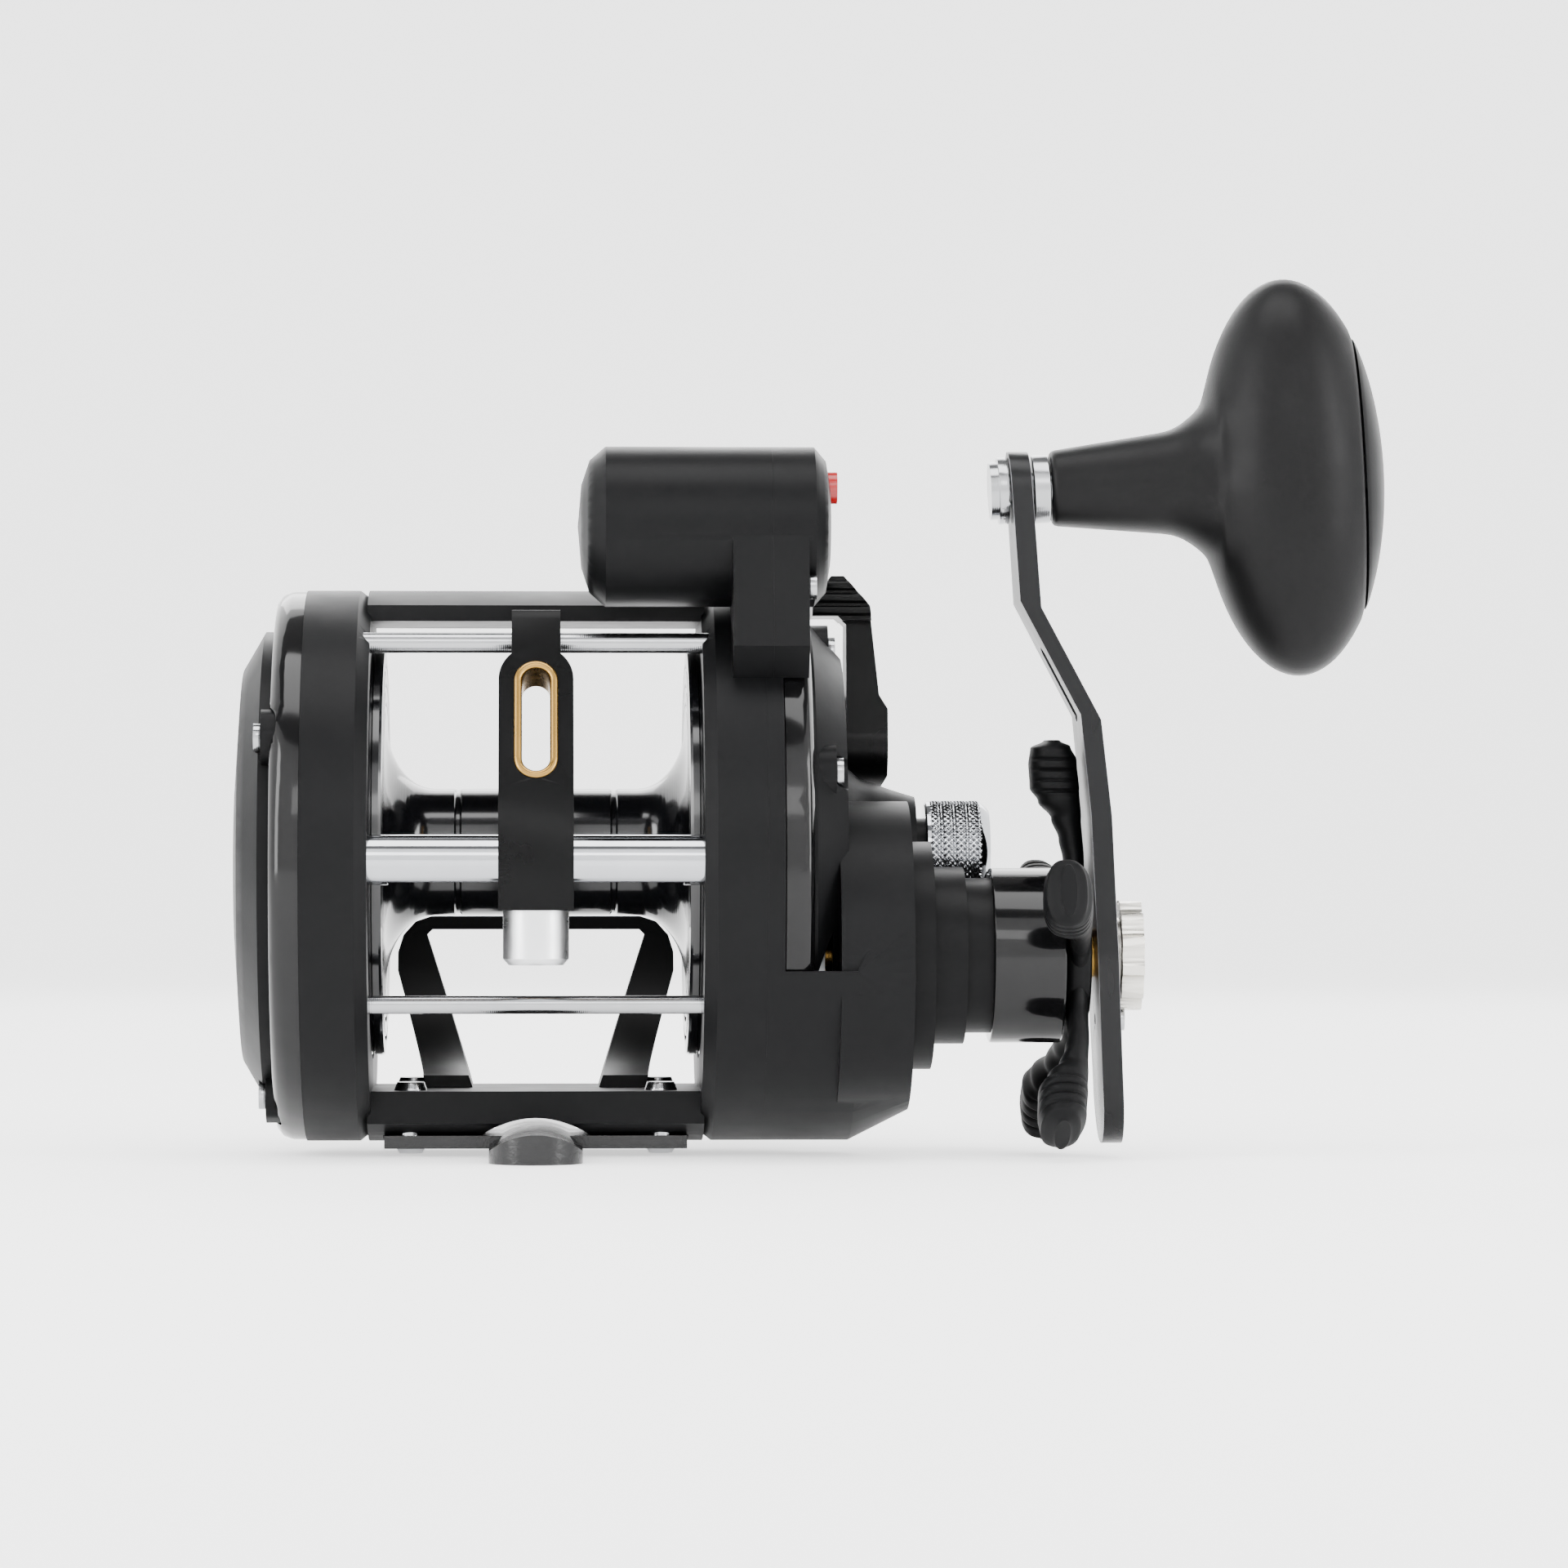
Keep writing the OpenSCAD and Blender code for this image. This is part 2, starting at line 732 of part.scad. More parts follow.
module handle_arm() {
    hub_r = 9.5;
    end_r = 5.6;
    tail_r = 8;
    color("#1a1b1d") difference() {
        intersection() {
            at_axis() translate([0, 40, 0]) rotate([90, 0, 0]) linear_extrude(100)
                polygon(concat(arm_outer, [for (i = [len(arm_inner) - 1 : -1 : 0]) arm_inner[i]]));
            slab(60, 90) translate([drive_y, 0]) {
                polygon([[-end_r + 0.1, knob_z], [-hub_r + 0.1, -drive_drop],
                         [-tail_r + 0.1, arm_tail_z], [tail_r - 0.1, arm_tail_z],
                         [hub_r - 0.1, -drive_drop], [end_r - 0.1, knob_z]]);
                translate([0, knob_z]) circle(end_r);
                translate([0, -drive_drop]) circle(hub_r);
                translate([0, arm_tail_z]) circle(tail_r);
            }
        }
        disc(3.2, 75, 90, drive_c);
        disc(0.85, 78, 86, drive_c - [0, 9.3]);
        slab(60, 90) translate([drive_y, 24.5]) stadium(4, 11);
        at_knob() translate([0, 0, -6]) cylinder(r = 2.5, h = 12);
    }
}

module handle_nut() {
    nut_r = 8.1;
    color("#b4b2ac") difference() {
        union() {
            disc(5.5, 84.5, 85.2, drive_c);
            disc(nut_r, 85, 88.2, drive_c);
        }
        disc(3.2, 84, 87.4, drive_c);
        for (a = [-90 : 30 : 240]) disc(2, 84.8, 89, drive_c + 9.4 * [cos(a), sin(a)]);
    }
}

module nut_lock_screw() {
    color("#9a9c9e") screw(1.7, 84.75, 1, drive_c - [0, 9.3]);
}

// Frame of the knob: its axis leaves the arm along local Z, local Y points up
module at_knob() {
    at_axis() translate([knob_x, drive_y, knob_z]) rotate([0, -knob_tilt, 0])
        rotate([90, 0, 90]) children();
}

module knob_pin() {
    color("#c3c5c8") at_knob() {
        translate([0, 0, -4.4]) cylinder(r = 4.2, h = 1.2);
        translate([0, 0, -3.2]) cylinder(r = 4.9, h = 1.4);
        translate([0, 0, -3.2]) cylinder(r = 2.5, h = 47.2);
        translate([0, 0, 44]) cylinder(r = 4, h = 1.4);
    }
}

module knob_bush() {
    color("#b9bbbd") at_knob() difference() {
        translate([0, 0, 1.8]) cylinder(r = 5, h = 2.5);
        cylinder(r = 2.5, h = 10);
    }
}

knob_mid = 39.9;
cap_start = 49.6;

// Oval grip, rounded in every direction
module knob_body() {
    hull() for (a = [-90 : 15 : 90])
        translate([0, knob_half * sin(a), knob_mid]) rotate([-90, 0, 0])
            cylinder(r = max(0.5, knob_deep * cos(a)), h = 0.05, $fn = 32);
}

module handle_knob() {
    color("#1b1b1c") at_knob() difference() {
        union() {
            knob_body();
            rotate_extrude() polygon([[0, 4.6], [5.6, 4.6], [7, 17.5], [7.6, 22.5], [8.6, 25],
                                      [12, 28], [12, 36], [0, 36]]);
        }
        translate([0, 0, 4]) cylinder(r = 2.5 + CLEAR, h = 42);
        translate([0, 0, 43.7]) cylinder(r = 4.3, h = 10);
        translate([-30, -40, cap_start]) cube([60, 80, 10]);
    }
}

module knob_cap() {
    color("#222223") at_knob() intersection() {
        knob_body();
        translate([-30, -40, cap_start + 0.1]) cube([60, 80, 10]);
    }
}

// Star wheel: five arms bent towards the reel, each ending in a thumb pad
module star_wheel() {
    arms = 5;
    arm_w = 7;
    pad_w = 10;
    color("#191a1b") {
        turned([[sleeve_r + CLEAR, 76.8], [9.4, 76.8], [10, 77.6], [10, 79.8], [9.2, 80.4],
                [sleeve_r + CLEAR, 80.4]], drive_c);
        for (i = [0 : arms - 1]) at_axis() translate([0, drive_c[0], drive_c[1]])
            rotate([360 / arms * i, 0, 0]) {
                translate([0, arm_w / 2, 0]) rotate([90, 0, 0]) linear_extrude(arm_w)
                    polygon([[76.9, 9], [80.3, 9], [79.3, 22.5], [74.5, 22.5], [76.9, 14]]);
                translate([0, pad_w / 2, 0]) rotate([90, 0, 0]) linear_extrude(pad_w)
                    polygon([[74.5, 21.5], [79.4, 21.5], [78.3, star_r - 1], [77.3, star_r],
                             [73, star_r], [71.9, star_r - 1.2]]);
            }
    }
}

module star_nut() {
    color("#b08d4a") pipe(7, sleeve_r + CLEAR, 69, 76.7, drive_c);
}

// ---- free spool, anti-reverse, cast control, clicker ----

module yoke() {
    groove = 3.35;
    color("#b08d4a") slab(38.7, 39.7) difference() {
        union() {
            circle(6);
            translate([3, -8]) square([8, 16]);
            for (c = post_c) translate(c) circle(3);
        }
        circle(groove);
        translate([-8, -groove]) square([8, 2 * groove]);
        for (c = post_c) translate(c) circle(1.5 + CLEAR);
    }
}

// Lever: hub, arm and a wedge-shaped thumb tab that leans over the side plate
module free_spool_lever() {
    tab_half = 6.5;
    color("#1d1e1f") {
        disc(shaft_r, 40.3, 46.6, lever_c);
        slab(40.3, 41.6) translate(lever_c) translate([0.8, 0.5]) circle(3);
        intersection() {
            at_axis() translate([0, 60, 0]) rotate([90, 0, 0]) linear_extrude(100)
                polygon([[41.2, 35.2], [41.2, 37.4], [44, 41.2], [45.9, 41.2], [49.8, 36.8],
                         [51.2, 23.5], [52.5, 21.4], [52.5, 11.4], [51.2, 9], [46.3, 9],
                         [46.3, 34], [45, 35.2]]);
            slab(41, 53) translate(lever_c) {
                circle(6.5);
                polygon([[-6.3, 1], [6.3, 1], [4.6, 20], [-4.6, 20]]);
                translate([-tab_half, 18.6]) square([2 * tab_half, 7]);
                for (side = [-1, 1], i = [0 : 2])
                    translate([side * tab_half, 20 + 1.9 * i]) circle(0.75);
            }
        }
    }
}

module reverse_dog() {
    aim = drive_c - dog_c;
    color("#8d9093") {
        disc(1, 40.2, 45, dog_c);
        slab(40.6, 41.8) translate(dog_c) {
            circle(2);
            rotate(atan2(aim[1], aim[0])) translate([0, -1]) square([norm(aim) - 9.3, 2]);
        }
    }
}

module cast_control_knob() {
    color("#c9cbcd") turned([[5 + CLEAR, 57.4], [7.2, 57.4], [7.6, 57.9], [7.6, 65.6], [6.4, 67],
                             [0, 67], [0, 64.6], [2.6, 64.6], [2.6, 61.6], [5 + CLEAR, 61.6]]);
}

// Slide on the left plate with the tongue that drops into the click gear
module clicker() {
    color("#1d1e1f") at_axis() translate([0, clicker_c[0], clicker_c[1]]) {
        translate([-45, -2.2, -2.6]) cube([0.7, 4.2, 5.2]);
        translate([-44.4, -1.2, -1.2]) cube([13, 2.4, 2.4]);
        translate([-32.8, -2.3, -0.5]) cube([1.2, 2, 1]);
    }
}

frame();
left_trim_ring();
left_side_plate();
right_trim_ring();
right_side_plate();
plate_screws();
bridge_plate();
gear_post();
gear_studs();
spool_bearings();
sleeve_bush();
nose_sleeve();
guide_rods();
worm_tube();
worm_bushes();
reel_foot();
foot_rivets();
counter_housing();
counter_cover();
counter_window();
counter_screws();
counter_shaft();
spool();
spool_shaft();
click_gear();
counter_drive_gear();
drive_sleeve();
main_gear();
drag_washers();
level_wind_gear();
ratchet_wheel();
handle_arm();
handle_nut();
nut_lock_screw();
knob_pin();
knob_bush();
star_wheel();
star_nut();
handle_knob();
knob_cap();
yoke();
pinion();
free_spool_lever();
reverse_dog();
worm_shaft();
worm_gear();
level_wind_idler();
line_guide();
guide_insert();
guide_pawl();
pawl_cap();
cast_control_knob();
clicker();
counter_idler_a();
counter_idler_b();
counter_gear();
digit_ones();
digit_tens();
digit_hundreds();
reset_button();
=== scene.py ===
"""Looks of the trolling reel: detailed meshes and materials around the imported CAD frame."""
import json
import math
import bmesh
import bpy
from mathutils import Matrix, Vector


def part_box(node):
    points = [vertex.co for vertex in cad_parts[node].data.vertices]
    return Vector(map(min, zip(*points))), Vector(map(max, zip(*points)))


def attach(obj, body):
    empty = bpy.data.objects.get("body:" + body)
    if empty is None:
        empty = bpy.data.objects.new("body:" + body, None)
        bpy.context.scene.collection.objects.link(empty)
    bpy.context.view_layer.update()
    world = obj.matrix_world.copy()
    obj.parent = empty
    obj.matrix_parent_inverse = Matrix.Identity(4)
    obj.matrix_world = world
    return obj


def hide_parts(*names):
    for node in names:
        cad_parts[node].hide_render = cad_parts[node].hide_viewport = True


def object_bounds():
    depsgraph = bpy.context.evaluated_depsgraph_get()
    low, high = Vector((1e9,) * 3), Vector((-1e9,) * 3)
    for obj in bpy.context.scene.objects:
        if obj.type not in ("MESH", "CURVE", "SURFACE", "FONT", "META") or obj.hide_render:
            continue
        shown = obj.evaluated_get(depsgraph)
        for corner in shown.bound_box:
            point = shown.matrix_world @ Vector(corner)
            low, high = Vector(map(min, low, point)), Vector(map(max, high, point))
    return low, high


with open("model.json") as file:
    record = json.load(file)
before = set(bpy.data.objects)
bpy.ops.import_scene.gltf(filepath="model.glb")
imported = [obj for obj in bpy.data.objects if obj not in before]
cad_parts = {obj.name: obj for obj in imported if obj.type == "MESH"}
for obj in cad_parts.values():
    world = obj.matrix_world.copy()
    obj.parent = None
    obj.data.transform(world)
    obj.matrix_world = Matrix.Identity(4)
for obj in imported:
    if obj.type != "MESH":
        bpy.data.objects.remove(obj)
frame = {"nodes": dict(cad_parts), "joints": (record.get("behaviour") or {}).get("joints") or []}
cad_box = [list(corner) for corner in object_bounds()]
NODES = frame["nodes"]
JOINTS = {joint["name"]: joint for joint in frame["joints"]}
MM = 0.001
TAU = 2 * math.pi
NOISE_ROUGHNESS = 0.55


def axis_point(joint):
    return Vector(JOINTS[joint]["pos_m"])


SPOOL = axis_point("spool_spin")
DRIVE = axis_point("crank_turn")
COUNTER = axis_point("counter_gear_spin")


# ---------------------------------------------------------------- materials

class Shader:
    """Small helper that builds one procedural material around a Principled shader."""

    def __init__(self, name, color, rough, metallic=0.0, **sockets):
        self.material = bpy.data.materials.new(name)
        self.material.use_nodes = True
        self.tree = self.material.node_tree
        self.bsdf = self.tree.nodes["Principled BSDF"]
        self.bsdf.inputs["Metallic"].default_value = metallic
        for socket, value in sockets.items():
            self.bsdf.inputs[socket.replace("_", " ")].default_value = value
        self.coords = self.node("ShaderNodeTexCoord").outputs["Object"]
        self.height = None
        self.color = (*color, 1)
        self.rough = rough
        self.bsdf.inputs["Base Color"].default_value = self.color
        self.bsdf.inputs["Roughness"].default_value = rough

    def node(self, kind, **settings):
        made = self.tree.nodes.new(kind)
        for key, value in settings.items():
            setattr(made, key, value)
        return made

    def link(self, source, target):
        self.tree.links.new(source, target)

    def noise(self, scale, detail=3.0, stretch=(1, 1, 1)):
        mapping = self.node("ShaderNodeMapping")
        mapping.inputs["Scale"].default_value = stretch
        self.link(self.coords, mapping.inputs["Vector"])
        made = self.node("ShaderNodeTexNoise")
        made.inputs["Scale"].default_value = scale
        made.inputs["Detail"].default_value = detail
        made.inputs["Roughness"].default_value = NOISE_ROUGHNESS
        self.link(mapping.outputs["Vector"], made.inputs["Vector"])
        return made.outputs["Fac"]

    def ramp(self, source, stops):
        made = self.node("ShaderNodeValToRGB")
        elements = made.color_ramp.elements
        while len(elements) < len(stops):
            elements.new(0.5)
        for element, (place, value) in zip(elements, stops):
            element.position = place
            element.color = (*value, 1) if isinstance(value, tuple) else (value, value, value, 1)
        self.link(source, made.inputs["Fac"])
        return made.outputs["Color"]

    def math(self, operation, first, second=0.0):
        made = self.node("ShaderNodeMath", operation=operation)
        for socket, value in zip(made.inputs, (first, second)):
            if hasattr(value, "links"):
                self.link(value, socket)
            else:
                socket.default_value = value
        return made.outputs[0]

    def vary_rough(self, scale, spread, stretch=(1, 1, 1)):
        low = max(0.02, self.rough - spread)
        high = min(1.0, self.rough + spread)
        self.link(self.ramp(self.noise(scale, 4, stretch), [(0.3, low), (0.7, high)]),
                  self.bsdf.inputs["Roughness"])
        return self

    def vary_color(self, scale, amount):
        dark = tuple(c * (1 - amount) for c in self.color[:3])
        light = tuple(min(1.0, c * (1 + amount)) for c in self.color[:3])
        self.link(self.ramp(self.noise(scale, 3), [(0.3, dark), (0.7, light)]),
                  self.bsdf.inputs["Base Color"])
        return self

    def bump(self, source, strength, distance):
        made = self.node("ShaderNodeBump")
        made.inputs["Strength"].default_value = strength
        made.inputs["Distance"].default_value = distance
        self.link(source, made.inputs["Height"])
        if self.height is not None:
            self.link(self.height, made.inputs["Normal"])
        self.height = made.outputs["Normal"]
        self.link(self.height, self.bsdf.inputs["Normal"])
        return self

    def rings(self, centre, pitch, strength, distance):
        """Fine turning marks around a line through centre, parallel to X."""
        shift = self.node("ShaderNodeVectorMath", operation="SUBTRACT")
        self.link(self.coords, shift.inputs[0])
        shift.inputs[1].default_value = centre
        flat = self.node("ShaderNodeVectorMath", operation="MULTIPLY")
        self.link(shift.outputs[0], flat.inputs[0])
        flat.inputs[1].default_value = (0, 1, 1)
        length = self.node("ShaderNodeVectorMath", operation="LENGTH")
        self.link(flat.outputs[0], length.inputs[0])
        wave = self.math("SINE", self.math("MULTIPLY", length.outputs["Value"], TAU / pitch))
        return self.bump(wave, strength, distance)

    def lines(self, axis, pitch, strength, distance):
        """Fine marks across one axis, as a lathe leaves on a shaft."""
        split = self.node("ShaderNodeSeparateXYZ")
        self.link(self.coords, split.inputs[0])
        wobble = self.math("MULTIPLY", self.noise(60), 3.0)
        phase = self.math("ADD", self.math("MULTIPLY", split.outputs[axis], TAU / pitch), wobble)
        return self.bump(self.math("SINE", phase), strength, distance)


def charcoal_plastic(name, tone=1.0, rough=0.43):
    base = tuple(c * tone for c in (0.0028, 0.0029, 0.0032))
    made = Shader(name, base, rough, Specular_IOR_Level=0.09)
    made.vary_color(35, 0.12).vary_rough(70, 0.05)
    made.bump(made.noise(2600, 2), 0.22, 0.00003).bump(made.noise(240, 2), 0.06, 0.00004)
    return made.material


def gloss_black():
    made = Shader("gloss_black", (0.002, 0.002, 0.0022), 0.10, Specular_IOR_Level=0.25,
                  Coat_Weight=0.05, Coat_Roughness=0.04)
    made.vary_rough(55, 0.035)
    made.bump(made.noise(140, 2), 0.04, 0.00005)
    return made.material


def textured_black():
    """Wrinkle lacquer on the foot."""
    made = Shader("wrinkle_black", (0.0025, 0.0025, 0.0028), 0.22, Specular_IOR_Level=0.3,
                  Coat_Weight=0.15, Coat_Roughness=0.1)
    made.vary_rough(120, 0.08)
    made.bump(made.noise(1500, 4), 0.55, 0.00012)
    return made.material


def spool_black():
    made = Shader("spool_black", (0.004, 0.0042, 0.005), 0.15, 0.15, Coat_Weight=0.2,
                  Coat_Roughness=0.05)
    made.vary_rough(45, 0.04)
    made.rings(SPOOL, 0.00045, 0.10, 0.00002)
    return made.material


def arm_black():
    made = Shader("arm_black", (0.003, 0.0031, 0.0035), 0.30, 0.1, Specular_IOR_Level=0.2)
    made.vary_color(60, 0.15).vary_rough(90, 0.06, (1, 1, 0.15))
    made.bump(made.noise(1800, 2, (1, 1, 0.1)), 0.12, 0.00003)
    return made.material


def bare_metal(name, color, rough, pitch=0.0, axis=0, aniso=0.0):
    made = Shader(name, color, rough, 1.0, Anisotropic=aniso)
    made.vary_color(120, 0.06).vary_rough(160, min(0.06, rough * 0.5))
    made.bump(made.noise(420, 3), 0.05, 0.00003)
    if pitch:
        made.lines(axis, pitch, 0.12, 0.000015)
    return made.material


def soft_rubber():
    made = Shader("soft_rubber", (0.0026, 0.0026, 0.0028), 0.42, Specular_IOR_Level=0.12)
    made.vary_color(50, 0.12).vary_rough(90, 0.07)
    made.bump(made.noise(3200, 2), 0.35, 0.00004).bump(made.noise(90, 2), 0.08, 0.0001)
    return made.material


def moulded(name, color, rough, **sockets):
    made = Shader(name, color, rough, **sockets)
    made.vary_color(80, 0.05).vary_rough(110, 0.05)
    made.bump(made.noise(700, 2), 0.10, 0.00004)
    return made.material


def clear_window():
    made = Shader("clear_window", (0.92, 0.95, 0.95), 0.05, Transmission_Weight=1.0, IOR=1.49)
    made.vary_rough(90, 0.02)
    made.bump(made.noise(120, 2), 0.02, 0.00003)
    return made.material


def carbon_washer():
    made = Shader("carbon_washer", (0.05, 0.05, 0.048), 0.5)
    made.vary_color(900, 0.4).vary_rough(400, 0.1)
    made.bump(made.noise(1400, 2), 0.3, 0.00006)
    return made.material


MATS = {
    "charcoal": charcoal_plastic("charcoal_plastic"),
    "housing": charcoal_plastic("housing_plastic", 0.85, 0.38),
    "satin": charcoal_plastic("satin_black", 0.5, 0.3),
    "matte": charcoal_plastic("matte_black", 0.8, 0.55),
    "gloss": gloss_black(),
    "foot": textured_black(),
    "spool": spool_black(),
    "arm": arm_black(),
    "stainless": bare_metal("stainless", (0.34, 0.345, 0.355), 0.18, 0.0003),
    "chrome": bare_metal("chrome", (0.42, 0.43, 0.45), 0.08),
    "nickel": bare_metal("satin_nickel", (0.62, 0.60, 0.55), 0.30, aniso=0.3),
    "brushed": bare_metal("brushed_aluminium", (0.72, 0.73, 0.74), 0.30, 0.0002, 2, 0.4),
    "brass": bare_metal("brass", (0.30, 0.175, 0.045), 0.24, 0.0004),
    "steel": bare_metal("ground_steel", (0.50, 0.51, 0.52), 0.28, 0.0002),
    "acetal": moulded("acetal", (0.78, 0.76, 0.70), 0.4, Subsurface_Weight=0.1),
    "rubber": soft_rubber(),
    "cap": charcoal_plastic("knob_cap_plastic", 0.9, 0.33),
    "red": moulded("red_plastic", (0.32, 0.004, 0.006), 0.22),
    "arm_edge": bare_metal("arm_edge", (0.34, 0.34, 0.36), 0.3),
    "window": clear_window(),
    "white": moulded("digit_white", (0.80, 0.80, 0.78), 0.45),
    "ink": moulded("digit_ink", (0.01, 0.01, 0.01), 0.5),
    "carbon": carbon_washer(),
}

NODE_MATERIAL = {
    "charcoal": ["frame", "left_side_plate", "right_side_plate"],
    "housing": ["counter_housing", "counter_cover"],
    "satin": ["line_guide", "free_spool_lever", "clicker"],
    "matte": ["star_wheel"],
    "gloss": ["left_trim_ring", "right_trim_ring", "nose_sleeve"],
    "foot": ["reel_foot"],
    "spool": ["spool"],
    "arm": ["handle_arm"],
    "stainless": ["guide_rods", "foot_rivets", "spool_shaft", "knob_pin", "knob_bush",
                  "counter_shaft", "plate_screws", "counter_screws", "nut_lock_screw"],
    "chrome": ["worm_tube", "cast_control_knob"],
    "nickel": ["handle_nut"],
    "brushed": ["pawl_cap"],
    "brass": ["guide_insert", "bridge_plate", "main_gear", "pinion", "drive_sleeve", "star_nut",
              "yoke", "sleeve_bush", "worm_bushes", "worm_shaft", "guide_pawl"],
    "steel": ["gear_post", "gear_studs", "spool_bearings", "ratchet_wheel", "reverse_dog"],
    "acetal": ["click_gear", "counter_drive_gear", "level_wind_gear", "worm_gear",
               "level_wind_idler", "counter_idler_a", "counter_idler_b", "counter_gear"],
    "rubber": ["handle_knob", "knob_cap"],
    "red": ["reset_button"],
    "window": ["counter_window"],
    "white": ["digit_ones", "digit_tens", "digit_hundreds"],
    "carbon": ["drag_washers"],
}


def dress_cad_nodes():
    for key, names in NODE_MATERIAL.items():
        for name in names:
            slots = NODES[name].material_slots
            if not slots:
                NODES[name].data.materials.append(MATS[key])
            for material_slot in slots:
                material_slot.material = MATS[key]


dress_cad_nodes()


def soften(name, width, segments=2, angle=32, edge=None):
    """Rounds a CAD node's sharp edges with modifiers; edge names the material of the rounding."""
    node = NODES[name]
    weld = node.modifiers.new("weld", "WELD")
    weld.merge_threshold = 1e-6
    bevel = node.modifiers.new("bevel", "BEVEL")
    bevel.width = width
    bevel.segments = segments
    bevel.limit_method = "ANGLE"
    bevel.angle_limit = math.radians(angle)
    bevel.use_clamp_overlap = True
    if edge is not None:
        node.data.materials.append(MATS[edge])
        bevel.material = len(node.material_slots) - 1
    node.modifiers.new("normals", "WEIGHTED_NORMAL").keep_sharp = False


SOFT_EDGES = {
    0.45 * MM: ["frame", "left_side_plate", "right_side_plate", "reel_foot", "counter_housing",
                "counter_cover"],
    0.35 * MM: ["left_trim_ring", "right_trim_ring", "line_guide", "nose_sleeve",
                "free_spool_lever"],
    0.25 * MM: ["pawl_cap", "handle_nut", "knob_pin", "knob_bush",
                "reset_button", "clicker", "foot_rivets"],
    0.12 * MM: ["plate_screws", "counter_screws", "nut_lock_screw", "worm_tube", "main_gear"],
}
for edge_width, names in SOFT_EDGES.items():
    for node_name in names:
        soften(node_name, edge_width)
soften("guide_insert", 0.55 * MM, 4)
soften("handle_arm", 0.6 * MM, 1, 40, "arm_edge")


# ---------------------------------------------------------------- detailed pieces

def mesh_piece(name, points, faces, key, body, slot, *nodes, smooth=35):
    """A shaded mesh object that rides on a body and stands for the named CAD nodes."""
    data = bpy.data.meshes.new(name)
    data.from_pydata([tuple(p) for p in points], [], faces)
    work = bmesh.new()
    work.from_mesh(data)
    bmesh.ops.remove_doubles(work, verts=work.verts, dist=1e-7)
    bmesh.ops.recalc_face_normals(work, faces=work.faces)
    work.to_mesh(data)
    work.free()
    data.shade_smooth()
    data.set_sharp_from_angle(angle=math.radians(smooth))
    data.materials.append(MATS[key])
    piece = bpy.data.objects.new(name, data)
    bpy.context.scene.collection.objects.link(piece)
    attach(piece, body)
    if nodes:
        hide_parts(*nodes)
    return piece


def grid_faces(rows, steps, first=0, closed=False):
    """Quads between rows of points; each row is a closed loop of steps points."""
    quads = []
    for row in range(rows if closed else rows - 1):
        low, high = first + row * steps, first + (row + 1) % rows * steps
        quads += [(low + i, low + (i + 1) % steps, high + (i + 1) % steps, high + i)
                  for i in range(steps)]
    return quads


def lathe(profile, centre, steps=160):
    """Points and faces of a closed (x, radius) profile in mm, turned about an X line."""
    points = []
    for x, radius in profile:
        points += [(x * MM, centre.y + radius * MM * math.cos(TAU * i / steps),
                    centre.z + radius * MM * math.sin(TAU * i / steps)) for i in range(steps)]
    return points, grid_faces(len(profile), steps, closed=True)


def along(stops, place):
    """Smooth value between (place, value) stops."""
    if place <= stops[0][0]:
        return stops[0][1]
    for (a, low), (b, high) in zip(stops, stops[1:]):
        if place <= b:
            share = (place - a) / (b - a)
            return low + (high - low) * share * share * (3 - 2 * share)
    return stops[-1][1]


def smooth_max(first, second, blend):
    over = max(blend - abs(first - second), 0) / blend
    return max(first, second) + over * over * blend / 4


# Spool: turned grooves in both flanges, polished arbor between them
FLANGE_R, FLANGE_IN, FLANGE_OUT = 30, 22.1, 25.8
ARBOR_R = 9.35
OUTER_GROOVES = (11, 15, 19, 23)
INNER_GROOVES = (27.6, 24.8, 22.0)
SWEEP_R, SWEEP_X = 19.5, 7.2          # where the flange starts to curve in, and how far it goes


def groove(x, radius, side, wide=0.45, deep=0.35):
    """Four points of a groove cut into a flange face, from the outside inwards."""
    return [(x, radius + wide), (x + side * deep, radius + wide * 0.6),
            (x + side * deep, radius - wide * 0.6), (x, radius - wide)]


def build_spool():
    half = [(FLANGE_OUT, 3.0), (FLANGE_OUT, 8.0)]
    for radius in OUTER_GROOVES:
        half += groove(FLANGE_OUT, radius, -1)[::-1]
    half += [(25.7, 28.2), (25.4, 29.2), (24.9, 29.75), (24.5, FLANGE_R), (24.2, FLANGE_R),
             (24.0, 29.7), (23.7, 29.7), (23.5, FLANGE_R), (22.6, FLANGE_R), (22.2, 29.8)]
    for radius in INNER_GROOVES:
        half += groove(FLANGE_IN, radius, 1)
    half += [(FLANGE_IN, SWEEP_R)]
    half += [(FLANGE_IN - SWEEP_X * (1 - math.cos(math.radians(a))),
              SWEEP_R - (SWEEP_R - ARBOR_R) * math.sin(math.radians(a))) for a in range(6, 91, 6)]
    half += [(12.0, ARBOR_R), (11.7, ARBOR_R - 0.3), (11.2, ARBOR_R - 0.3), (10.9, ARBOR_R)]
    profile = [(-x, r) for x, r in half] + half[::-1]
    points, faces = lathe(profile, SPOOL, 200)
    mesh_piece("spool_turned", points, faces, "spool", "spool", "spool_black", "spool", smooth=22)


build_spool()


